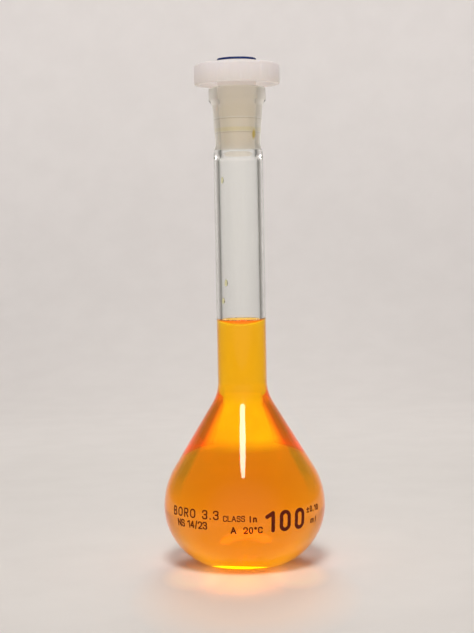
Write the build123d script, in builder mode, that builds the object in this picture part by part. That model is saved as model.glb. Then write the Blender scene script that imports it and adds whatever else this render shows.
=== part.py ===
from build123d import *
from math import acos, cos, degrees, pi, radians, sin
import os

# Volumetric flask, 100 ml, class A, with an NS 14/23 ground socket and a plastic stopper.
# Millimetres. +Z is up along the axis of revolution, and the origin is at the centre of the foot,
# on the surface that the flask stands on. The inscriptions face -Y.

# ---- blown body
bulb_radius = 29.5
widest_height = 21.2
lower_arc_radius = 22.7
upper_arc_radius = 26.9
cone_half_angle = 31.4
shoulder_radius = 14.7
bulb_wall = 1.0
neck_radius = 8.95
neck_bore_radius = 7.0

# ---- foot: a flat standing ring round a shallow pushed-up dome
heel_radius = 4.0
heel_inside_radius = 3.0
dome_radius = 10.5
dome_height = 1.6
foot_thickness = 1.4

# ---- ground socket and beaded rim
rim_height = 173.4
rim_radius = 10.4
rim_depth = 4.7
rim_rounding = 0.9
socket_mouth_radius = 14.5 / 2
socket_length = 23.0
taper = 1 / 20  # on the radius: the standard ground joint is 1:10 on the diameter
cone_top_radius = 9.15
cone_top_depth = 6.5
waist_radius = 8.15
waist_depth = 21.0
waist_rounding = 4.0
tube_top_depth = 23.7
tube_rounding = 6.0
bead_rounding = 1.2
bore_flare_depth = 26.0
bore_flare_rounding = 6.0

# ---- filling, graduation and inscriptions
capacity = 100 * 1000  # cubic millimetres up to the graduation ring
meniscus_depth = 2.3
ring_width = 0.3
enamel_thickness = 0.08
band_down = 20.0  # degrees of the lower arc and of the upper arc that the inscriptions cover
band_up = 10.0

# ---- stopper
plug_clearance = 0.25
seal_clearance = 0.03
plug_end_height = 153.0
plug_wall = 1.2
plug_floor = 1.5
plug_chamfer = 0.8
seal_heights = (162.4, 157.5)
seal_width = 1.6
cap_radius = 15.45
cap_bottom = 174.4
cap_top = 181.8
cap_rounding = 1.2
cap_edge_rounding = 0.4
cap_plate = 2.2
skirt_wall = 1.8
web_count = 6
web_thickness = 1.0
web_recess = 1.0
flute_count = 25
flute_depth = 0.12
boss_radius = 7.9
boss_top = 182.85
boss_rounding = 0.3
flute_cutter_radius = 2.4

# ---- colour-code disc, snapped into the mouth of the hollow stopper
disc_radius = 7.1
disc_top = 184.0
disc_crown = 0.25
disc_rounding = 0.25
spigot_radius = 5.0
spigot_length = 3.0
spigot_clearance = 0.03

os.makedirs("parts", exist_ok=True)


def write(piece, name):
    """Label a finished piece and write its STEP file."""
    piece.part.label = name
    export_step(piece.part, "parts/" + name + ".step")


def socket_radius(height):
    """Radius of the ground socket's bore at a height."""
    return socket_mouth_radius - (rim_height - height) * taper


def body_lines(inset, tube_radius, floor, heel, top):
    """Half outline of the blown body, from the axis to the top of the neck tube, in a BuildLine.

    It runs along the dome, the standing ring, the heel, the bulb's two arcs, the cone, the shoulder
    and the tube. The glass's outside has an inset of 0, and its inside an inset of the bulb's wall.
    """
    lower_radius = lower_arc_radius - inset
    upper_radius = upper_arc_radius - inset
    lower_centre = bulb_radius - lower_arc_radius
    upper_centre = bulb_radius - upper_arc_radius
    heel_turn = degrees(acos((widest_height - floor - heel) / (lower_radius - heel)))
    heel_start = lower_centre + (lower_radius - heel) * sin(radians(heel_turn))
    turn = radians(cone_half_angle)
    cone_foot = upper_centre + upper_radius * cos(turn)
    shoulder = shoulder_radius + neck_radius - tube_radius
    cone_length = (cone_foot - tube_radius - shoulder * (1 - cos(turn))) / sin(turn)

    dome = TangentArc((0, floor + dome_height), (dome_radius, floor), tangent=(1, 0))
    ring = Line(dome @ 1, (heel_start, floor))
    heel_arc = JernArc(ring @ 1, (1, 0), heel, heel_turn)
    lower_arc = JernArc(heel_arc @ 1, heel_arc % 1, lower_radius, 90 - heel_turn)
    upper_arc = JernArc(lower_arc @ 1, (0, 1), upper_radius, cone_half_angle)
    cone = PolarLine(upper_arc @ 1, cone_length, direction=upper_arc % 1)
    shoulder_arc = JernArc(cone @ 1, cone % 1, shoulder, -cone_half_angle)
    Line(shoulder_arc @ 1, (tube_radius, top))


def inner_lines(top):
    """Half outline of the space inside the glass, up to a height in the neck."""
    body_lines(bulb_wall, neck_bore_radius, foot_thickness, heel_inside_radius, top)


# ---- flask: bulb, neck, socket and rim are one piece of glass
tube_top = rim_height - tube_top_depth
flare_bottom = rim_height - bore_flare_depth
socket_end = rim_height - socket_length

with BuildPart() as flask:
    with BuildSketch(Plane.XZ):
        with BuildLine():
            body_lines(0, neck_radius, 0, heel_radius, tube_top - tube_rounding)
            FilletPolyline(
                (neck_radius, tube_top - tube_rounding),
                (neck_radius, tube_top),
                (waist_radius, rim_height - waist_depth),
                (cone_top_radius, rim_height - cone_top_depth),
                (rim_radius, rim_height - rim_depth),
                (rim_radius, rim_height),
                (socket_mouth_radius, rim_height),
                radius=(tube_rounding, waist_rounding, bead_rounding, bead_rounding, rim_rounding),
            )
            Polyline(
                (socket_mouth_radius, rim_height),
                (0, rim_height),
                (0, dome_height),
            )
        make_face()
    revolve(axis=Axis.Z)
    with BuildSketch(Plane.XZ):
        with BuildLine():
            inner_lines(flare_bottom - bore_flare_rounding)
            FilletPolyline(
                (neck_bore_radius, flare_bottom - bore_flare_rounding),
                (neck_bore_radius, flare_bottom),
                (socket_radius(socket_end), socket_end),
                radius=bore_flare_rounding,
            )
            Polyline(
                (socket_radius(socket_end), socket_end),
                (socket_mouth_radius, rim_height),
                (0, rim_height),
                (0, foot_thickness + dome_height),
            )
        make_face()
    revolve(axis=Axis.Z, mode=Mode.SUBTRACT)
write(flask, "flask")

# ---- graduation: the height at which the space inside holds the capacity
with BuildPart() as full_space:
    with BuildSketch(Plane.XZ):
        with BuildLine():
            inner_lines(flare_bottom)
            Polyline(
                (neck_bore_radius, flare_bottom),
                (0, flare_bottom),
                (0, foot_thickness + dome_height),
            )
        make_face()
    revolve(axis=Axis.Z)

ring_height = flare_bottom - (full_space.part.volume - capacity) / (pi * neck_bore_radius**2)
print("graduation ring at", round(ring_height, 2))

with BuildPart() as graduation_ring:
    with BuildSketch(Plane.XZ):
        with Locations((neck_radius, ring_height)):
            Rectangle(enamel_thickness, ring_width, align=(Align.MIN, Align.CENTER))
    revolve(axis=Axis.Z)
write(graduation_ring, "graduation_ring")

# ---- solution: it wets the glass up to the ring and sags to a meniscus in the middle
with BuildPart() as solution:
    with BuildSketch(Plane.XZ):
        with BuildLine():
            inner_lines(ring_height)
            TangentArc(
                (0, ring_height - meniscus_depth),
                (neck_bore_radius, ring_height),
                tangent=(1, 0),
            )
            Line((0, ring_height - meniscus_depth), (0, foot_thickness + dome_height))
        make_face()
    revolve(axis=Axis.Z)
write(solution, "solution")


# ---- inscriptions: fired enamel, a thin skin that follows the bulb
with BuildPart() as enamel_skin:
    with BuildSketch(Plane.XZ):
        with BuildLine():
            low_centre = (bulb_radius - lower_arc_radius, widest_height)
            high_centre = (bulb_radius - upper_arc_radius, widest_height)
            inside = CenterArc(low_centre, lower_arc_radius, -band_down, band_down)
            inside_up = CenterArc(high_centre, upper_arc_radius, 0, band_up)
            outside = CenterArc(low_centre, lower_arc_radius + enamel_thickness, -band_down, band_down)
            outside_up = CenterArc(high_centre, upper_arc_radius + enamel_thickness, 0, band_up)
            Line(inside @ 0, outside @ 0)
            Line(inside_up @ 1, outside_up @ 1)
        make_face()
    revolve(axis=Axis.Z)

# A stroke alphabet. Each letter has its width as a share of its height, and its pen strokes: points
# in a cell one wide and one high, and the rounding of the stroke's corners as a share of the height.
ring_stroke = [(0, 0), (1, 0), (1, 1), (0, 1), (0, 0)]
alphabet = {
    "0": (0.5, [(ring_stroke, 0.249)]),
    "1": (0.36, [([(0, 0.8), (1, 1), (1, 0)], 0)]),
    "2": (0.58, [([(0, 0.74), (0, 1), (1, 1), (1, 0.52), (0, 0)], 0.2), ([(0, 0), (1, 0)], 0)]),
    "3": (
        0.58,
        [
            ([(0, 0.78), (0, 1), (1, 1), (1, 0.52), (0.4, 0.52)], 0.2),
            ([(0.4, 0.52), (1, 0.52), (1, 0), (0, 0), (0, 0.22)], 0.2),
        ],
    ),
    "4": (0.6, [([(0.74, 0), (0.74, 1), (0, 0.28), (1, 0.28)], 0)]),
    "A": (0.74, [([(0, 0), (0.5, 1), (1, 0)], 0), ([(0.18, 0.34), (0.82, 0.34)], 0)]),
    "B": (
        0.58,
        [
            ([(0, 0), (0, 1)], 0),
            ([(0, 1), (0.9, 1), (0.9, 0.53), (0, 0.53)], 0.2),
            ([(0, 0.53), (1, 0.53), (1, 0), (0, 0)], 0.22),
        ],
    ),
    "C": (0.6, [([(1, 0.75), (1, 1), (0, 1), (0, 0), (1, 0), (1, 0.25)], 0.24)]),
    "I": (0, [([(0, 0), (0, 1)], 0)]),
    "L": (0.5, [([(0, 1), (0, 0), (1, 0)], 0)]),
    "N": (0.62, [([(0, 0), (0, 1), (1, 0), (1, 1)], 0)]),
    "O": (0.7, [(ring_stroke, 0.33)]),
    "R": (
        0.58,
        [
            ([(0, 0), (0, 1)], 0),
            ([(0, 1), (1, 1), (1, 0.48), (0, 0.48)], 0.22),
            ([(0.5, 0.48), (1, 0)], 0),
        ],
    ),
    "S": (
        0.56,
        [([(1, 0.78), (1, 1), (0, 1), (0, 0.52), (1, 0.52), (1, 0), (0, 0), (0, 0.22)], 0.2)],
    ),
    "l": (0, [([(0, 0), (0, 1)], 0)]),
    "m": (
        0.9,
        [
            ([(0, 0), (0, 0.7)], 0),
            ([(0, 0.45), (0, 0.7), (0.5, 0.7), (0.5, 0)], 0.17),
            ([(0.5, 0.45), (0.5, 0.7), (1, 0.7), (1, 0)], 0.17),
        ],
    ),
    "n": (0.5, [([(0, 0), (0, 0.7)], 0), ([(0, 0.45), (0, 0.7), (1, 0.7), (1, 0)], 0.2)]),
    "/": (0.34, [([(0, -0.08), (1, 1.08)], 0)]),
    ".": (0, [([(0, 0), (0, 0.05)], 0)]),
    " ": (0.25, []),
    "\u00b1": (
        0.62,
        [([(0, 0.58), (1, 0.58)], 0), ([(0.5, 0.28), (0.5, 0.88)], 0), ([(0, 0), (1, 0)], 0)],
    ),
    "\u00b0": (0.26, [([(0, 0.74), (1, 0.74), (1, 1), (0, 1), (0, 0.74)], 0.12)]),
}


def facing(azimuth):
    """Upright plane through the axis that faces out at an azimuth, counted from -Y towards +X."""
    turn = radians(azimuth)
    return Plane(
        origin=(0, 0, 0),
        x_dir=(cos(turn), sin(turn), 0),
        z_dir=(sin(turn), -cos(turn), 0),
    )


def pen_stroke(places, rounding, stroke):
    """One pen stroke of a letter, in a BuildSketch: round-ended, with rounded or round-joined corners."""
    if rounding:
        with BuildLine() as pen:
            FilletPolyline(*places, radius=rounding)
        trace(pen.line, line_width=stroke)
        if places[0] != places[-1]:
            with Locations(places[0], places[-1]):
                Circle(stroke / 2)
    else:
        with BuildLine() as pen:
            Polyline(*places)
        for segment in pen.edges():
            trace(segment, line_width=stroke)
        with Locations(*places):
            Circle(stroke / 2)


def relief(letter, azimuth, baseline, pen_height, stroke):
    """One enamel letter on the bulb: its strokes, cut from the enamel skin at an azimuth."""
    share, strokes = alphabet[letter]
    letter_width = share * pen_height
    with BuildPart() as cut:
        for points, rounding in strokes:
            places = [
                ((x - 0.5) * letter_width, baseline + stroke / 2 + y * pen_height)
                for x, y in points
            ]
            with BuildSketch(facing(azimuth)):
                pen_stroke(places, rounding * pen_height, stroke)
            extrude(amount=bulb_radius + 1)
        add(enamel_skin.part, mode=Mode.INTERSECT)
    return cut.part


def inscription(words, azimuth, baseline, height, width, stroke):
    """Letters of a given height and overall width, wrapped round the bulb about an azimuth."""
    pen_height = height - stroke
    letter_widths = [alphabet[letter][0] * pen_height for letter in words]
    gap = (width - stroke - sum(letter_widths)) / max(len(words) - 1, 1)
    start = -(sum(letter_widths) + gap * (len(words) - 1)) / 2
    reliefs = []
    for letter, letter_width in zip(words, letter_widths):
        turn = degrees((start + letter_width / 2) / bulb_radius)
        start += letter_width + gap
        if letter != " ":
            reliefs.append(relief(letter, azimuth + turn, baseline, pen_height, stroke))
    with BuildPart() as letters:
        add(reliefs)
    return letters


# name: words, azimuth of the middle, baseline, letter height, width along the bulb, stroke
inscriptions = {
    "print_capacity": ("100", 29.6, 16.05, 7.6, 16.2, 1.35),
    "print_unit": ("ml", 56.2, 17.1, 2.2, 3.6, 0.42),
    "print_tolerance": ("\u00b10.10", 55.1, 21.3, 2.2, 7.5, 0.42),
    "print_basis": ("In", 5.6, 20.05, 2.3, 2.6, 0.52),
    "print_temperature": ("20\u00b0C", 5.4, 15.95, 2.5, 6.9, 0.46),
    "print_class": ("CLASS", -7.5, 20.3, 2.2, 7.8, 0.36),
    "print_class_letter": ("A", -8.1, 16.0, 2.6, 2.2, 0.5),
    "print_joint": ("NS 14/23", -40.6, 17.1, 2.8, 14.0, 0.46),
    "print_glass": ("BORO 3.3", -38.5, 20.8, 3.3, 21.0, 0.5),
}
for name, details in inscriptions.items():
    write(inscription(*details), name)


# ---- stopper: a hollow tapered plug with a closed end and two sealing ribs, under a fluted cap
def plug_radius(height):
    """Outside radius of the plug at a height, a clearance inside the socket's taper."""
    return socket_radius(height) - plug_clearance


def hollow_radius(height):
    """Radius of the hollow in the plug at a height."""
    return plug_radius(height) - plug_wall


plate_bottom = cap_top - cap_plate
skirt_radius = cap_radius - skirt_wall
hollow_bottom = plug_end_height + plug_floor
spigot_bottom = boss_top - spigot_length

with BuildPart() as stopper:
    with BuildSketch(Plane.XZ):
        with BuildLine():
            FilletPolyline(
                (0, plug_end_height),
                (plug_radius(plug_end_height), plug_end_height),
                (plug_radius(rim_height), rim_height),
                (plug_radius(rim_height), plate_bottom),
                (skirt_radius, plate_bottom),
                (skirt_radius, cap_bottom),
                (cap_radius, cap_bottom),
                (cap_radius, cap_top),
                (boss_radius, cap_top),
                (boss_radius, boss_top),
                (0, boss_top),
                radius=(
                    plug_chamfer,
                    0,
                    0,
                    cap_edge_rounding,
                    0,
                    cap_edge_rounding,
                    cap_rounding,
                    boss_rounding,
                    boss_rounding,
                ),
            )
            Line((0, boss_top), (0, plug_end_height))
        make_face()
    revolve(axis=Axis.Z)

    # webs stiffen the skirt from inside, clear of its lower edge
    with BuildSketch(Plane.XY.offset(cap_bottom + web_recess)) as webs:
        with PolarLocations(0, web_count):
            Rectangle(cap_radius - skirt_wall / 2, web_thickness, align=(Align.MIN, Align.CENTER))
        Circle(plug_radius(rim_height) - plug_wall / 2, mode=Mode.SUBTRACT)
    extrude(until=Until.NEXT)

    # the sealing ribs swell out to a hair's breadth from the ground glass
    for seal_height in seal_heights:
        below = seal_height - seal_width / 2
        above = seal_height + seal_width / 2
        with BuildSketch(Plane.XZ):
            with BuildLine():
                ThreePointArc(
                    (plug_radius(below), below),
                    (socket_radius(seal_height) - seal_clearance, seal_height),
                    (plug_radius(above), above),
                )
                Polyline(
                    (plug_radius(above), above),
                    (hollow_radius(above) + plug_wall / 2, above),
                    (hollow_radius(below) + plug_wall / 2, below),
                    (plug_radius(below), below),
                )
            make_face()
        revolve(axis=Axis.Z)

    # hollow, open at the top
    with BuildSketch(Plane.XZ):
        with BuildLine():
            FilletPolyline(
                (0, hollow_bottom),
                (hollow_radius(hollow_bottom), hollow_bottom),
                (hollow_radius(spigot_bottom), spigot_bottom),
                (spigot_radius, spigot_bottom),
                (spigot_radius, boss_top),
                (0, boss_top),
                radius=(plug_chamfer, 0, 0, 0),
            )
            Line((0, boss_top), (0, hollow_bottom))
        make_face()
    revolve(axis=Axis.Z, mode=Mode.SUBTRACT)

    # shallow flutes round the cap give the fingers a grip
    with BuildSketch(Plane.XY.offset(cap_bottom)):
        with PolarLocations(cap_radius + flute_cutter_radius - flute_depth, flute_count):
            Circle(flute_cutter_radius)
    extrude(amount=cap_top - cap_bottom, mode=Mode.SUBTRACT)
write(stopper, "stopper")

# ---- colour-code disc: a slightly crowned flange on a spigot
with BuildPart() as stopper_disc:
    with BuildSketch(Plane.XZ) as disc_section:
        with BuildLine():
            crown = TangentArc((0, disc_top), (disc_radius, disc_top - disc_crown), tangent=(1, 0))
            Polyline(
                crown @ 1,
                (disc_radius, boss_top),
                (spigot_radius - spigot_clearance, boss_top),
                (spigot_radius - spigot_clearance, spigot_bottom),
                (0, spigot_bottom),
                (0, disc_top),
            )
        make_face()
        fillet(disc_section.vertices().group_by(Axis.X)[-1], disc_rounding)
    revolve(axis=Axis.Z)
write(stopper_disc, "stopper_disc")
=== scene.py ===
import math

import bpy
from mathutils import Matrix, Vector


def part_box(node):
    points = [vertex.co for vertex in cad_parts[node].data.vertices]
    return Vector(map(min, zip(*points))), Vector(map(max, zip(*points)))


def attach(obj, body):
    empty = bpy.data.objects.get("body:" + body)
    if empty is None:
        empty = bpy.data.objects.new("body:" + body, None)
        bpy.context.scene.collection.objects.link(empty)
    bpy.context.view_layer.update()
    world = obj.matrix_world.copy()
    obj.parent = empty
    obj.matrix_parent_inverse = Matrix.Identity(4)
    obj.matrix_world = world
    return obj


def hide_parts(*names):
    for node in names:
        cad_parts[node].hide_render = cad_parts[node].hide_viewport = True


# Looks of the stoppered volumetric flask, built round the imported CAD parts. Metres, +Z up.
# The inscriptions face -Y, where the camera stands.

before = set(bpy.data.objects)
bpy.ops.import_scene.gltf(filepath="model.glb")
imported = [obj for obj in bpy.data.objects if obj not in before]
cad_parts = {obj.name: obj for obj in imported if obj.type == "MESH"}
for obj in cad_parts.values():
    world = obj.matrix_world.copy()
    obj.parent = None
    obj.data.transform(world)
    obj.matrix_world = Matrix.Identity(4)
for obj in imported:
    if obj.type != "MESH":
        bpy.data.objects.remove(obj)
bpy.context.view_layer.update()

MM = 0.001

# ---- places read from the frame
flask_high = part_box("flask")[1]
ring_low, ring_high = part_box("graduation_ring")
plug_end_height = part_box("stopper")[0].z
bulb_radius = flask_high.x
rim_height = flask_high.z
ring_height = (ring_low.z + ring_high.z) / 2

# ---- the blown body, with the driving dimensions of the CAD part
widest_height = 21.2 * MM
lower_arc_radius = 22.7 * MM
upper_arc_radius = 26.9 * MM
cone_half_angle = 31.4  # degrees from the axis
shoulder_radius = 14.7 * MM
bulb_wall = 1.0 * MM
neck_radius = 8.95 * MM
neck_bore_radius = 7.0 * MM
heel_radius = 4.0 * MM
heel_inside_radius = 3.0 * MM
dome_radius = 10.5 * MM
dome_height = 1.6 * MM
foot_thickness = 1.4 * MM

# ---- ground socket and beaded rim
rim_radius = 10.4 * MM
rim_depth = 4.7 * MM
rim_rounding = 0.9 * MM
socket_mouth_radius = 7.25 * MM
mouth_rounding = 0.3 * MM
socket_length = 23.0 * MM
taper = 1 / 20  # how much the radius changes along the length
socket_end = (socket_mouth_radius - socket_length * taper, rim_height - socket_length)
cone_top_radius = 9.15 * MM
cone_top_depth = 6.5 * MM
waist_radius = 8.15 * MM
waist_depth = 21.0 * MM
waist_rounding = 4.0 * MM
tube_top = rim_height - 23.7 * MM
tube_rounding = 6.0 * MM
bead_rounding = 1.2 * MM
flare_bottom = rim_height - 26.0 * MM
flare_rounding = 6.0 * MM

# ---- drops on the bore: degrees from the front, height, half width and half height
drops = (
    (-50, 139.9 * MM, 0.45 * MM, 1.2 * MM),
    (-43, 102.9 * MM, 0.6 * MM, 1.3 * MM),
    (-55, 96.4 * MM, 0.6 * MM, 1.1 * MM),
)
drop_thickness = 0.4 * MM
drop_bed = 0.05 * MM
drop_sag = 0.25  # how much narrower a drop's upper half is, and how much wider its lower half

# ---- where the stopper seals in the socket
rib_heights = (plug_end_height + 4.4 * MM, plug_end_height + 9.4 * MM)
rib_line = 0.35 * MM
dried_height = plug_end_height + 5.1 * MM
dried_depth = 0.9 * MM
spot_azimuth = 53  # degrees from the front
spot_radius = 6.7 * MM  # from the axis
spot_height = plug_end_height + 3.2 * MM
spot_reach = (1.0 * MM, 1.0 * MM, 2.2 * MM)

# ---- liquid
meniscus_depth = 2.3 * MM
capillary_length = 2.7 * MM
wetting_overlap = 0.25 * MM  # the liquid reaches into the glass, so that no film of air shows between
meniscus_place = (0, 0, ring_height - meniscus_depth / 2)
meniscus_reach = (8 * MM, 8 * MM, meniscus_depth)
foot_light_reach = 18 * MM  # how high the painted glow at the bulb's foot reaches
cone_middle = 46 * MM  # where painted shade darkens the sides of the cone
cone_reach = 18 * MM
glow_middle = 53 * MM  # where painted light gathers in the cone
glow_reach = 9.5 * MM

# ---- fineness of the meshes
ARC_STEP = 1.5  # degrees between points of a round stretch
LEAST_ARC_STEPS = 3
STRAIGHT = 1e-4  # radians of turn below which a corner stays as it is
ON_AXIS = 1e-7  # metres from the axis below which a point lies on it
LATHE_SEGMENTS = 288  # points of a full turn
SURFACE_STEPS = 40  # stretches of the meniscus, from the bore to the axis
DROP_RINGS = 6
DROP_SEGMENTS = 20
SHARP_ANGLE = 35  # degrees between faces above which an edge stays crisp


# ---------------------------------------------------------------- outlines and lathe work
class Pen:
    """Draws a half outline in the (radius, height) plane, as a turtle that knows its heading."""

    def __init__(self, radius, height, heading=0.0):
        self.points = [(radius, height)]
        self.heading = heading

    def forward(self, length):
        angle = math.radians(self.heading)
        r, z = self.points[-1]
        self.points.append((r + length * math.cos(angle), z + length * math.sin(angle)))
        return self

    def arc(self, radius, turn):
        """A round stretch that turns left by a positive angle in degrees, or right by a negative one."""
        side = math.copysign(1, turn)
        start = math.radians(self.heading)
        r, z = self.points[-1]
        centre = (r - side * radius * math.sin(start), z + side * radius * math.cos(start))
        count = max(LEAST_ARC_STEPS, math.ceil(abs(turn) / ARC_STEP))
        for i in range(1, count + 1):
            angle = math.radians(self.heading + turn * i / count)
            across = centre[0] + side * radius * math.sin(angle)
            up = centre[1] - side * radius * math.cos(angle)
            self.points.append((across, up))
        self.heading += turn
        return self

    def to(self, radius, height):
        r, z = self.points[-1]
        self.heading = math.degrees(math.atan2(height - z, radius - r))
        self.points.append((radius, height))
        return self


def rounded(corners, radii):
    """An open line through corners, with each inner corner rounded to its radius."""
    line = [corners[0]]
    for before, corner, after, radius in zip(corners, corners[1:], corners[2:], radii):
        into = (Vector(corner) - Vector(before)).normalized()
        out = (Vector(after) - Vector(corner)).normalized()
        turn = into.angle_signed(out)
        if abs(turn) < STRAIGHT:
            line.append(corner)
            continue
        back = radius * math.tan(abs(turn) / 2)
        start = Vector(corner) - into * back
        heading = math.degrees(math.atan2(into.y, into.x))
        bend = Pen(start.x, start.y, heading).arc(radius, -math.degrees(turn))
        line += bend.points
    line.append(corners[-1])
    return line


def body_outline(inset, tube_radius, floor, heel, top):
    """Half outline of the blown body, from the axis to the top of the neck tube."""
    low = lower_arc_radius - inset
    high = upper_arc_radius - inset
    heel_turn = math.degrees(math.acos((widest_height - floor - heel) / (low - heel)))
    heel_start = bulb_radius - lower_arc_radius + (low - heel) * math.sin(math.radians(heel_turn))
    turn = math.radians(cone_half_angle)
    cone_foot = bulb_radius - upper_arc_radius + high * math.cos(turn)
    shoulder = shoulder_radius + neck_radius - tube_radius
    cone_length = (cone_foot - tube_radius - shoulder * (1 - math.cos(turn))) / math.sin(turn)
    dome_turn = 2 * math.degrees(math.atan(dome_height / dome_radius))
    dome_arc = (dome_radius**2 + dome_height**2) / (2 * dome_height)

    pen = Pen(0, floor + dome_height)
    pen.arc(dome_arc, -dome_turn)
    pen.to(heel_start, floor)
    pen.arc(heel, heel_turn)
    pen.arc(low, 90 - heel_turn)
    pen.arc(high, cone_half_angle)
    pen.forward(cone_length)
    pen.arc(shoulder, -cone_half_angle)
    pen.to(tube_radius, top)
    return pen.points


def smooth_piece(name, verts, faces):
    """A smooth-shaded mesh object in the scene."""
    mesh = bpy.data.meshes.new(name)
    mesh.from_pydata(verts, [], faces)
    mesh.polygons.foreach_set("use_smooth", [True] * len(faces))
    mesh.update()
    piece = bpy.data.objects.new(name, mesh)
    bpy.context.scene.collection.objects.link(piece)
    return piece


def lathe(name, outline, slots_from=()):
    """A closed mesh that turns an outline, from axis to axis, about Z.

    slots_from lists (first, last, slot): the outline's stretches that take another material slot.
    """
    verts, rings = [], []
    for r, z in outline:
        first = len(verts)
        if r < ON_AXIS:
            rings.append([first] * LATHE_SEGMENTS)
            verts.append((0, 0, z))
            continue
        rings.append([first + k for k in range(LATHE_SEGMENTS)])
        for k in range(LATHE_SEGMENTS):
            angle = 2 * math.pi * k / LATHE_SEGMENTS
            verts.append((r * math.cos(angle), r * math.sin(angle), z))
    faces, slots = [], []
    for i, (a, b) in enumerate(zip(rings, rings[1:])):
        slot = next((s for first, last, s in slots_from if first <= i < last), 0)
        for k in range(LATHE_SEGMENTS):
            n = (k + 1) % LATHE_SEGMENTS
            face = list(dict.fromkeys([a[k], a[n], b[n], b[k]]))
            if len(face) > 2:
                faces.append(face)
                slots.append(slot)
    piece = smooth_piece(name, verts, faces)
    piece.data.polygons.foreach_set("material_index", slots)
    piece.data.set_sharp_from_angle(angle=math.radians(SHARP_ANGLE))
    piece.data.update()
    return piece


def round_axis(azimuth, radius, height):
    """A point at an angle in radians from the front, counted round the axis."""
    return (radius * math.sin(azimuth), -radius * math.cos(azimuth), height)


# ---------------------------------------------------------------- material building
NOISE_RANGE = (0.3, 0.7)  # where most values of a noise texture lie
BLEND_RANGE = (0.35, 0.65)  # the noise values between which one colour passes into another
FADE_RANGE = (0.6, 1.1)  # the shares of its reach between which a patch fades
WIDE = 1.0  # metres sideways, so far that only a patch's height counts
MIX_FIRST, MIX_SECOND, MIX_RESULT = 6, 7, 2  # a Mix node's sockets for colours

GLASS_IOR = 1.473
WATER_IOR = 1.33
SOLUTION_IOR = 1.31  # less than water's, so that the cone's bright middle is as wide as in the photo
POLYETHYLENE_IOR = 1.51


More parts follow.
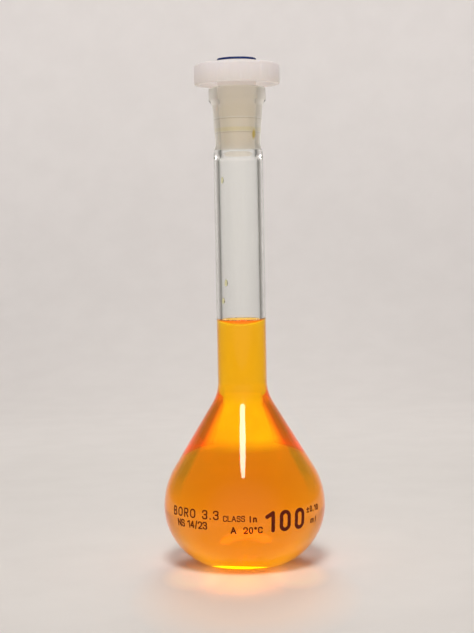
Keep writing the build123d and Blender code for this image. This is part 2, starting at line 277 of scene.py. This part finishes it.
class Paint:
    """A node material in the making. Most methods add nodes and return the socket that holds the result."""

    def __init__(self, name):
        self.material = bpy.data.materials.new(name)
        self.material.use_nodes = True
        self.nodes = self.material.node_tree.nodes
        self.links = self.material.node_tree.links
        self.shader = self.nodes["Principled BSDF"]

    def set(self, entry, value):
        """Gives one of the shader's inputs a constant."""
        self.shader.inputs[entry].default_value = value

    def link(self, source, entry):
        """Links a socket to one of the shader's inputs."""
        self.links.new(source, self.shader.inputs[entry])

    def place(self):
        """Object coordinates, which are metres in the shared frame."""
        return self.nodes.new("ShaderNodeTexCoord").outputs["Object"]

    def facing(self):
        """A value that rises from 0, where the surface is looked at square on."""
        return self.nodes.new("ShaderNodeLayerWeight").outputs["Facing"]

    def plain(self, colour):
        node = self.nodes.new("ShaderNodeRGB")
        node.outputs["Color"].default_value = (*colour, 1)
        return node.outputs["Color"]

    def noise(self, scale, detail):
        node = self.nodes.new("ShaderNodeTexNoise")
        node.inputs["Scale"].default_value = scale
        node.inputs["Detail"].default_value = detail
        self.links.new(self.place(), node.inputs["Vector"])
        return node.outputs["Fac"]

    def bump(self, source, strength, distance):
        """Gives the shader a relief that follows a value."""
        node = self.nodes.new("ShaderNodeBump")
        node.inputs["Strength"].default_value = strength
        node.inputs["Distance"].default_value = distance
        self.links.new(source, node.inputs["Height"])
        self.link(node.outputs["Normal"], "Normal")

    def spread(self, source, span, start, end):
        """A value that goes from start to end as the source goes through a span."""
        node = self.nodes.new("ShaderNodeMapRange")
        node.inputs["From Min"].default_value, node.inputs["From Max"].default_value = span
        node.inputs["To Min"].default_value = start
        node.inputs["To Max"].default_value = end
        self.links.new(source, node.inputs["Value"])
        return node.outputs["Result"]

    def ranged(self, noise, low, high):
        """A noise value mapped to a range."""
        return self.spread(noise, NOISE_RANGE, low, high)

    def blended(self, noise, first, second):
        """A colour that goes from first to second as a noise value rises."""
        node = self.nodes.new("ShaderNodeValToRGB")
        elements = list(node.color_ramp.elements)
        for element, position, colour in zip(elements, BLEND_RANGE, (first, second)):
            element.position = position
            element.color = (*colour, 1)
        self.links.new(noise, node.inputs["Fac"])
        return node.outputs["Color"]

    def stepped(self, source, stops):
        """A value that follows (position, value) stops."""
        node = self.nodes.new("ShaderNodeValToRGB")
        elements = node.color_ramp.elements
        for element, (position, value) in zip(list(elements), (stops[0], stops[-1])):
            element.position = position
            element.color = (value, value, value, 1)
        for position, value in stops[1:-1]:
            elements.new(position).color = (value, value, value, 1)
        self.links.new(source, node.inputs["Fac"])
        return node.outputs["Color"]

    def vector_step(self, operation, source, other):
        """A vector worked out from a socket's vector and a constant one."""
        node = self.nodes.new("ShaderNodeVectorMath")
        node.operation = operation
        node.inputs[1].default_value = other
        self.links.new(source, node.inputs[0])
        return node.outputs["Vector"]

    def patch(self, centre, reach, beyond=0.0, within=1.0):
        """A value that is one thing within reach of a place, along X, Y and Z, and another beyond it."""
        away = self.vector_step("SUBTRACT", self.place(), centre)
        scaled = self.vector_step("DIVIDE", away, reach)
        distance = self.nodes.new("ShaderNodeVectorMath")
        distance.operation = "LENGTH"
        self.links.new(scaled, distance.inputs[0])
        return self.spread(distance.outputs["Value"], FADE_RANGE, within, beyond)

    def level(self, height, reach, beyond=0.0, within=1.0):
        """A patch that covers everything near one height."""
        return self.patch((0, 0, height), (WIDE, WIDE, reach), beyond, within)

    def stained(self, colour, mask, stain):
        """A colour with a stain laid over it where the mask is 1."""
        node = self.nodes.new("ShaderNodeMix")
        node.data_type = "RGBA"
        node.inputs[MIX_SECOND].default_value = (*stain, 1)
        self.links.new(mask, node.inputs["Factor"])
        self.links.new(colour, node.inputs[MIX_FIRST])
        return node.outputs[MIX_RESULT]

    def product(self, one, other):
        node = self.nodes.new("ShaderNodeMath")
        node.operation = "MULTIPLY"
        self.links.new(one, node.inputs[0])
        self.links.new(other, node.inputs[1])
        return node.outputs["Value"]

    def scaled(self, colour, amount):
        """A constant colour, made stronger or weaker by a value."""
        node = self.nodes.new("ShaderNodeVectorMath")
        node.operation = "SCALE"
        node.inputs[0].default_value = colour
        self.links.new(amount, node.inputs["Scale"])
        return node.outputs["Vector"]

    def sum(self, one, other):
        node = self.nodes.new("ShaderNodeVectorMath")
        node.operation = "ADD"
        self.links.new(one, node.inputs[0])
        self.links.new(other, node.inputs[1])
        return node.outputs["Vector"]


# ---------------------------------------------------------------- materials of the flask
def glass_paint(name, tint):
    """A borosilicate material. The tint scales what the surface reflects when it is looked at square on."""
    paint = Paint(name)
    paint.set("Transmission Weight", 1.0)
    paint.set("IOR", GLASS_IOR)
    paint.set("Specular Tint", (*tint, 1))
    return paint


def clear_glass():
    """Fire-polished glass, faintly wavy as drawn tubing is, with a faint painted glow where the flask is
    empty.
    """
    paint = glass_paint("clear_glass", tint=(1, 0.95, 0.88))
    paint.set("Base Color", (0.99, 0.995, 0.985, 1))
    paint.bump(paint.noise(scale=45, detail=0.0), strength=0.01, distance=0.1 * MM)
    smears = paint.noise(scale=140, detail=4.0)
    paint.link(paint.ranged(smears, low=0.0, high=0.025), "Roughness")
    ring_share = 0.9  # the ring lies at this share of the painted glow's reach
    # painted light: a faint glow on the glass above the liquid
    painted_glow = paint.level(rim_height, (rim_height - ring_height) / ring_share, within=0.012)
    paint.set("Emission Color", (0.95, 1.0, 0.78, 1))
    paint.link(painted_glow, "Emission Strength")
    return paint.material


def wetted_glass():
    """Glass that liquid touches: the two bend light almost alike, so next to nothing is reflected."""
    paint = glass_paint("wetted_glass", tint=(0.05, 0.05, 0.05))
    paint.set("Base Color", (0.995, 0.995, 0.995, 1))
    smears = paint.noise(scale=140, detail=2.0)
    paint.link(paint.ranged(smears, low=0.0, high=0.01), "Roughness")
    return paint.material


def ground_glass():
    """The socket's ground zone: matt glass, with solution dried on where the stopper's ribs seal, and a
    faint painted glow.
    """
    paint = glass_paint("ground_glass", tint=(1, 1, 1))
    grit = paint.noise(scale=5000, detail=3.0)
    colour = paint.blended(grit, first=(0.93, 0.88, 0.79), second=(0.97, 0.92, 0.83))
    for height in rib_heights:
        line = paint.level(height, rib_line, within=0.8)
        colour = paint.stained(colour, line, stain=(1.0, 0.98, 0.93))
        edge = paint.level(height - rib_line, rib_line / 2, within=0.8)
        colour = paint.stained(colour, edge, stain=(0.62, 0.56, 0.45))
    dried = paint.level(dried_height, dried_depth, within=0.35)
    colour = paint.stained(colour, dried, stain=(0.86, 0.78, 0.30))
    spot_place = round_axis(math.radians(spot_azimuth), spot_radius, spot_height)
    colour = paint.stained(colour, paint.patch(spot_place, spot_reach), stain=(0.72, 0.52, 0.02))
    paint.link(colour, "Base Color")
    paint.set("Transmission Weight", 0.5)
    # painted light: a faint warm glow that brightens the ground zone
    paint.set("Emission Color", (1.0, 0.92, 0.74, 1))
    paint.set("Emission Strength", 0.03)
    paint.bump(grit, strength=0.3, distance=0.03 * MM)
    paint.link(paint.ranged(grit, low=0.34, high=0.46), "Roughness")
    return paint.material


def shaded_cone_sides(paint):
    """A mask of the two sides of the cone, which are painted with brown shade."""
    sides = paint.stepped(paint.facing(), ((0.165, 0), (0.185, 1), (0.235, 1), (0.255, 0)))
    return paint.product(sides, paint.level(cone_middle, cone_reach))


def cone_glow(paint):
    """A swirled mask of painted glow in the middle of the cone, on the side toward the viewer."""
    middle = paint.stepped(paint.facing(), ((0.125, 1), (0.175, 0)))
    zone = paint.product(middle, paint.level(glow_middle, glow_reach))
    swirl = paint.ranged(paint.noise(scale=70, detail=3.0), low=0.6, high=1.3)
    far_side = paint.nodes.new("ShaderNodeNewGeometry").outputs["Backfacing"]
    near_side = paint.stepped(far_side, ((0.4, 1), (0.6, 0)))
    return paint.product(paint.product(zone, swirl), near_side)


def solution_light(paint, brown):
    """Painted light that the liquid gives off, which stands for light that the flask gathers: all over,
    more at the foot and its edges, in the cone's middle and at the meniscus, and less on the cone's shaded
    sides.
    """
    amount = paint.level(0, foot_light_reach, beyond=0.12, within=0.15)
    overall = paint.scaled((1.0, 0.33, 0.0), amount)
    in_cone = paint.scaled((0.34, 0.25, 0.0), cone_glow(paint))
    at_meniscus = paint.scaled((0.0, 0.07, 0.0), paint.patch(meniscus_place, meniscus_reach))
    light = paint.sum(paint.sum(overall, in_cone), at_meniscus)
    edges = paint.stepped(paint.facing(), ((0.165, 0), (0.235, 1)))
    foot_edges = paint.product(edges, paint.level(0, foot_light_reach))
    light = paint.stained(light, foot_edges, stain=(0.21, 0.11, 0.0))
    return paint.stained(light, brown, stain=(0.05, 0.04, 0.0))


def orange_solution():
    """A clear solution whose colour deepens with the depth of liquid that is looked through."""
    paint = Paint("orange_solution")
    paint.set("Roughness", 0.0)
    paint.set("Transmission Weight", 1.0)
    paint.set("IOR", SOLUTION_IOR)
    paint.set("Specular Tint", (0.1, 0.1, 0.1, 1))
    # painted shade: the cone's sides are tinted brown and glow less
    brown = shaded_cone_sides(paint)
    colour = paint.stained(paint.plain((1, 0.71, 0.22)), brown, stain=(0.55, 0.55, 0.25))
    paint.link(colour, "Base Color")
    # painted light, laid on by solution_light
    paint.link(solution_light(paint, brown), "Emission Color")
    paint.set("Emission Strength", 1.0)
    dye = paint.nodes.new("ShaderNodeVolumeAbsorption")
    dye.inputs["Color"].default_value = (0.993, 0.94, 0.02, 1)
    dye.inputs["Density"].default_value = 300.0
    paint.links.new(dye.outputs["Volume"], paint.nodes["Material Output"].inputs["Volume"])
    return paint.material


def drop_liquid():
    """The same solution in drops, too thin to look deep orange."""
    paint = Paint("drop_liquid")
    cloud = paint.noise(scale=900, detail=2.0)
    colour = paint.blended(cloud, first=(0.96, 0.91, 0.52), second=(1.0, 0.96, 0.66))
    paint.link(colour, "Base Color")
    paint.set("Transmission Weight", 1.0)
    paint.set("IOR", WATER_IOR)
    paint.link(paint.ranged(cloud, low=0.0, high=0.05), "Roughness")
    return paint.material


def fired_enamel():
    """Dark red-brown enamel, a little uneven as screen printing leaves it."""
    paint = Paint("fired_enamel")
    patches = paint.noise(scale=900, detail=4.0)
    colour = paint.blended(patches, first=(0.11, 0.012, 0.004), second=(0.17, 0.020, 0.006))
    paint.link(colour, "Base Color")
    paint.set("Specular IOR Level", 0.15)
    grain = paint.noise(scale=6000, detail=2.0)
    paint.bump(grain, strength=0.4, distance=0.02 * MM)
    paint.link(paint.ranged(grain, low=0.5, high=0.65), "Roughness")
    return paint.material


def brown_stain():
    """The ring's fired stain, which lets some light through."""
    paint = Paint("brown_stain")
    streaks = paint.noise(scale=1500, detail=2.0)
    colour = paint.blended(streaks, first=(0.80, 0.58, 0.24), second=(0.86, 0.66, 0.30))
    paint.link(colour, "Base Color")
    paint.set("Transmission Weight", 0.9)
    paint.set("IOR", GLASS_IOR)
    paint.link(paint.ranged(streaks, low=0.2, high=0.35), "Roughness")
    return paint.material


# ---------------------------------------------------------------- materials of the stopper
def let_light_through(paint, colour, share):
    """Mixes the shader with a translucent one, as thin plastic needs."""
    through = paint.nodes.new("ShaderNodeBsdfTranslucent")
    through.inputs["Color"].default_value = (*colour, 1)
    mix = paint.nodes.new("ShaderNodeMixShader")
    mix.inputs["Fac"].default_value = share
    paint.links.new(paint.shader.outputs["BSDF"], mix.inputs[1])
    paint.links.new(through.outputs["BSDF"], mix.inputs[2])
    paint.links.new(mix.outputs["Shader"], paint.nodes["Material Output"].inputs["Surface"])


def polyethylene():
    """Natural polyethylene: milky and waxy, yellower in the plug, which stands in the socket, and given a
    faint painted glow.
    """
    paint = Paint("polyethylene")
    cloud = paint.noise(scale=90, detail=3.0)
    colour = paint.blended(cloud, first=(0.85, 0.82, 0.83), second=(0.89, 0.86, 0.87))
    rim_share = 0.85  # the rim lies at this share of the yellower part's reach
    plug = paint.level(plug_end_height, (rim_height - plug_end_height) / rim_share)
    colour = paint.stained(colour, plug, stain=(0.90, 0.85, 0.73))
    paint.link(colour, "Base Color")
    paint.set("Subsurface Weight", 0.6)
    paint.set("Subsurface Radius", (1.0, 0.85, 0.65))
    paint.set("Subsurface Scale", 2.5 * MM)
    paint.set("IOR", POLYETHYLENE_IOR)
    grain = paint.noise(scale=2600, detail=3.0)
    paint.bump(grain, strength=0.2, distance=0.03 * MM)
    paint.link(paint.ranged(grain, low=0.42, high=0.55), "Roughness")
    # painted light: the stopper glows faintly in its own colour
    paint.link(colour, "Emission Color")
    paint.set("Emission Strength", 0.22)
    let_light_through(paint, colour=(0.93, 0.90, 0.89), share=0.6)
    return paint.material


def blue_plastic():
    paint = Paint("blue_plastic")
    cloud = paint.noise(scale=300, detail=2.0)
    colour = paint.blended(cloud, first=(0.004, 0.022, 0.13), second=(0.008, 0.032, 0.18))
    paint.link(colour, "Base Color")
    grain = paint.noise(scale=1800, detail=3.0)
    paint.bump(grain, strength=0.15, distance=0.02 * MM)
    paint.link(paint.ranged(grain, low=0.25, high=0.36), "Roughness")
    return paint.material


# ---------------------------------------------------------------- pieces
GROUND_SLOT = 1  # the slots follow the order in which make_flask_glass adds its materials
WETTED_SLOT = 2


def dress(node, material):
    """Gives a CAD node its material and smooth shading, with its sharp edges kept."""
    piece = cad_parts[node]
    piece.data.materials.clear()
    piece.data.materials.append(material)
    piece.data.polygons.foreach_set("use_smooth", [True] * len(piece.data.polygons))
    piece.data.set_sharp_from_angle(angle=math.radians(SHARP_ANGLE))


def dress_cad_nodes():
    enamel = fired_enamel()
    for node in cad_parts:
        if node.startswith("print_"):
            dress(node, enamel)
    dress("graduation_ring", brown_stain())
    dress("stopper", polyethylene())
    dress("stopper_disc", blue_plastic())


def socket_outline(start):
    """The outside above the tube: waist, cone and beaded rim, and then the ground bore down to its end."""
    corners = [
        start,
        (neck_radius, tube_top),
        (waist_radius, rim_height - waist_depth),
        (cone_top_radius, rim_height - cone_top_depth),
        (rim_radius, rim_height - rim_depth),
        (rim_radius, rim_height),
        (socket_mouth_radius, rim_height),
        socket_end,
    ]
    radii = [tube_rounding, waist_rounding, bead_rounding, bead_rounding, rim_rounding, mouth_rounding]
    return rounded(corners, radii)


def flare_outline():
    """The bore below the ground zone, which widens to the neck's bore."""
    below = (neck_bore_radius, flare_bottom - flare_rounding)
    return rounded([socket_end, (neck_bore_radius, flare_bottom), below], [flare_rounding])


def make_flask_glass():
    outside = body_outline(0, neck_radius, 0, heel_radius, tube_top - tube_rounding)
    socket = socket_outline(outside[-1])
    flare = flare_outline()
    inside = body_outline(bulb_wall, neck_bore_radius, foot_thickness, heel_inside_radius, flare_bottom)
    wetted = [(neck_bore_radius, ring_height)] + inside[-2::-1]
    outline = outside + socket[1:] + flare[1:] + wetted
    ground_end = len(outside) + len(socket) - 2
    wetted_start = len(outline) - len(wetted)
    slots = [(ground_end - 1, ground_end, GROUND_SLOT), (wetted_start, len(outline), WETTED_SLOT)]
    glass = lathe("flask_glass", outline, slots)
    for material in (clear_glass(), ground_glass(), wetted_glass()):
        glass.data.materials.append(material)
    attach(glass, "flask")
    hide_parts("flask")


def meniscus_outline():
    """The liquid's surface from the bore to the axis, which rises toward the glass as a catenary does."""
    full = math.cosh(neck_bore_radius / capillary_length) - 1
    surface = []
    for i in range(SURFACE_STEPS + 1):
        r = neck_bore_radius * (1 - i / SURFACE_STEPS)
        rise = (math.cosh(r / capillary_length) - 1) / full
        surface.append((r, ring_height - meniscus_depth * (1 - rise)))
    return surface


def make_solution():
    wall = bulb_wall - wetting_overlap
    bore = neck_bore_radius + wetting_overlap
    floor = foot_thickness - wetting_overlap
    side = body_outline(wall, bore, floor, heel_inside_radius, ring_height)
    liquid = lathe("solution_liquid", side + meniscus_outline())
    liquid.data.materials.append(orange_solution())
    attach(liquid, "flask")
    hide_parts("solution")


def drop_points(drop, bedded):
    """Points of a drop's free dome, or of its side bedded in the glass: rings, and then the middle."""
    azimuth, height, half_width, half_height = drop
    middle = math.radians(azimuth)
    points = []
    for i in range(1, DROP_RINGS + 1):
        slope = math.pi / 2 * i / DROP_RINGS
        reach = math.sin(slope)
        radius = neck_bore_radius + (drop_bed if bedded else -drop_thickness * math.cos(slope))
        for k in range(DROP_SEGMENTS):
            turn = 2 * math.pi * k / DROP_SEGMENTS
            sideways = half_width * reach * math.cos(turn) / (1 + drop_sag * math.sin(turn))
            z = height + half_height * reach * math.sin(turn)
            points.append(round_axis(middle + sideways / neck_bore_radius, radius, z))
    radius = neck_bore_radius + (drop_bed if bedded else -drop_thickness)
    points.append(round_axis(middle, radius, height))
    return points


def drop_faces(first):
    """Faces of a drop whose points start at an index: dome, bedded side, and the band between them."""
    half = DROP_RINGS * DROP_SEGMENTS + 1
    faces = []
    for start, bedded in ((first, False), (first + half, True)):
        for k in range(DROP_SEGMENTS):
            n = (k + 1) % DROP_SEGMENTS
            stretch = [[start + half - 1, start + k, start + n]]
            for i in range(DROP_RINGS - 1):
                a = start + i * DROP_SEGMENTS
                b = a + DROP_SEGMENTS
                stretch.append([a + k, b + k, b + n, a + n])
            faces += stretch if bedded else [face[::-1] for face in stretch]
    edge = first + (DROP_RINGS - 1) * DROP_SEGMENTS
    for k in range(DROP_SEGMENTS):
        n = (k + 1) % DROP_SEGMENTS
        faces.append([edge + k, edge + n, edge + half + n, edge + half + k])
    return faces


def make_drops():
    """Drops of solution left on the bore above the liquid: shallow domes bedded in the glass."""
    verts, faces = [], []
    for drop in drops:
        faces += drop_faces(len(verts))
        verts += drop_points(drop, bedded=False) + drop_points(drop, bedded=True)
    wet = smooth_piece("neck_drops", verts, faces)
    wet.data.materials.append(drop_liquid())
    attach(wet, "flask")


# ---------------------------------------------------------------- studio
# ---- the paper sweep, along Y
floor_front = -0.9
cove_start = 0.45
cove_radius = 0.35
wall_height = 1.7
studio_half_width = 0.95
paper_columns = 12

# ---- painted shade and light on the paper
pale_place = (0, 0.45, 0.3)  # painted shade leaves the paper palest about here, and greys it beyond
pale_reach = (0.55, 0.9, 1.6)
light_pool_place = (0, -50 * MM, 0)  # a painted pool of the flask's orange light on the table here
light_pool_reach = (36 * MM, 60 * MM, 60 * MM)
glow_beside_place = (18 * MM, -24 * MM, 0)  # and a painted glow here, on either side
glow_beside_reach = (11 * MM, 20 * MM, 20 * MM)

# ---- lamps: metres, watts, and degrees of spread
warm_white = (1.0, 0.97, 0.93)
pinkish_white = (1.0, 0.97, 0.99)
lamp_target = (0, 0, 0.06)
key_place = (-0.02, -0.46, 0.95)
key_size = (0.30, 0.44)
key_power = 6.0
behind_place = (0.03, 0.62, 0.52)
behind_size = (0.44, 0.44)
behind_power = 0.66
behind_spread = 110
wash_offset = 0.34
wash_height = 0.5
wash_start = 0.1
wash_end = 0.8
wash_size = (0.25, 0.8)
wash_power = 1.0
wash_spread = 130

# ---- the room's dim light
room_colour = (1.0, 0.96, 0.92, 1)
room_strength = (0.16, 0.45)  # from elsewhere, and from straight before the flask
room_turn = (0.5, 0.95)  # cosines of the angles to -Y between which the strength changes

# ---- camera: metres, degrees, and millimetres of lens and sensor
camera_distance = 0.540
camera_height = 0.121
camera_pitch = -3.25
camera_pan = 0.163
camera_roll = -1.07
focal_length = 84.2
sensor_width = 36.0
nearest_seen = 0.01

MOST_BOUNCES = 24
MOST_TRANSPARENT_BOUNCES = 16


def white_paper():
    """Matt paper, with painted shade toward the sides and the front, a painted peach pool of the flask's
    light, and painted glow on either side of the foot.
    """
    paint = Paint("white_paper")
    grain = paint.noise(scale=40, detail=5.0)
    colour = paint.blended(grain, first=(0.76, 0.73, 0.71), second=(0.78, 0.75, 0.73))
    # painted shade: greyer away from the middle of the sweep
    greyed_by_shade = paint.patch(pale_place, pale_reach, beyond=1.0, within=0.0)
    colour = paint.stained(colour, greyed_by_shade, stain=(0.46, 0.43, 0.41))
    # painted light: a peach pool where the flask throws its light
    colour = paint.stained(colour, paint.patch(light_pool_place, light_pool_reach), stain=(0.916, 0.762, 0.67))
    paint.link(colour, "Base Color")
    # painted light: the paper glows on either side of the flask's foot
    light = paint.plain((0, 0, 0))
    x, y, z = glow_beside_place
    for side in (-1, 1):
        glow_beside = paint.patch((side * x, y, z), glow_beside_reach)
        light = paint.stained(light, glow_beside, stain=(0.18, 0.11, 0.045))
    paint.link(light, "Emission Color")
    paint.set("Emission Strength", 1.0)
    paint.set("Roughness", 0.7)
    return paint.material


def make_studio():
    """A paper sweep: table top in front, curving up into a wall behind."""
    pen = Pen(floor_front, 0).to(cove_start, 0).arc(cove_radius, 90)
    pen.to(cove_start + cove_radius, wall_height)
    verts, faces = [], []
    for y, z in pen.points:
        for k in range(paper_columns + 1):
            verts.append((studio_half_width * (2 * k / paper_columns - 1), y, z))
    row = paper_columns + 1
    for i in range(len(pen.points) - 1):
        for k in range(paper_columns):
            a = i * row + k
            faces.append((a, a + 1, a + row + 1, a + row))
    sweep = smooth_piece("paper_sweep", verts, faces)
    sweep.data.materials.append(white_paper())


def area_light(name, shape, place, target, size, power, colour, spread=180):
    lamp = bpy.data.lights.new(name, "AREA")
    lamp.shape = shape
    lamp.size, lamp.size_y = size
    lamp.energy = power
    lamp.color = colour
    lamp.spread = math.radians(spread)
    light = bpy.data.objects.new(name, lamp)
    light.location = place
    aim = Vector(target) - Vector(place)
    light.rotation_euler = aim.to_track_quat("-Z", "Y").to_euler()
    bpy.context.scene.collection.objects.link(light)


def make_lamps():
    """An oval lamp high before the flask, a round one high behind it, and two that wash the wall."""
    area_light("key", "ELLIPSE", key_place, lamp_target, key_size, key_power, warm_white)
    area_light(
        "behind", "DISK", behind_place, lamp_target, behind_size, behind_power, warm_white, behind_spread
    )
    for side in (-1, 1):
        name = f"wall_wash_{side}"
        place = (side * wash_offset, wash_start, wash_height)
        ahead = (side * wash_offset, wash_end, wash_height)
        area_light(name, "RECTANGLE", place, ahead, wash_size, wash_power, pinkish_white, wash_spread)


def make_room_light():
    """Dim light from all round, which is stronger from the side that the inscriptions face."""
    world = bpy.data.worlds.new("room")
    bpy.context.scene.world = world
    world.use_nodes = True
    nodes, links = world.node_tree.nodes, world.node_tree.links
    background = nodes["Background"]
    background.inputs["Color"].default_value = room_colour
    direction = nodes.new("ShaderNodeTexCoord")
    forward = nodes.new("ShaderNodeVectorMath")
    forward.operation = "DOT_PRODUCT"
    forward.inputs[1].default_value = (0, -1, 0)
    room = nodes.new("ShaderNodeMapRange")
    room.inputs["From Min"].default_value, room.inputs["From Max"].default_value = room_turn
    room.inputs["To Min"].default_value, room.inputs["To Max"].default_value = room_strength
    links.new(direction.outputs["Generated"], forward.inputs[0])
    links.new(forward.outputs["Value"], room.inputs["Value"])
    links.new(room.outputs["Result"], background.inputs["Strength"])


def make_camera():
    lens = bpy.data.cameras.new("camera")
    lens.lens = focal_length
    lens.sensor_width = sensor_width
    lens.clip_start = nearest_seen
    camera = bpy.data.objects.new("camera", lens)
    turn = (
        Matrix.Rotation(math.radians(camera_pan), 4, "Z")
        @ Matrix.Rotation(math.radians(90 + camera_pitch), 4, "X")
        @ Matrix.Rotation(math.radians(camera_roll), 4, "Z")
    )
    camera.matrix_world = Matrix.Translation((0, -camera_distance, camera_height)) @ turn
    bpy.context.scene.collection.objects.link(camera)
    bpy.context.scene.camera = camera


def set_light_paths():
    """Enough bounces for glass, liquid and plastic behind one another, and a plain film response."""
    scene = bpy.context.scene
    scene.cycles.blur_glossy = 0.0
    scene.cycles.max_bounces = MOST_BOUNCES
    scene.cycles.transmission_bounces = MOST_BOUNCES
    scene.cycles.transparent_max_bounces = MOST_TRANSPARENT_BOUNCES
    scene.view_settings.view_transform = "Standard"


make_camera()
make_studio()
make_lamps()
make_room_light()
set_light_paths()
make_flask_glass()
make_solution()
make_drops()
dress_cad_nodes()
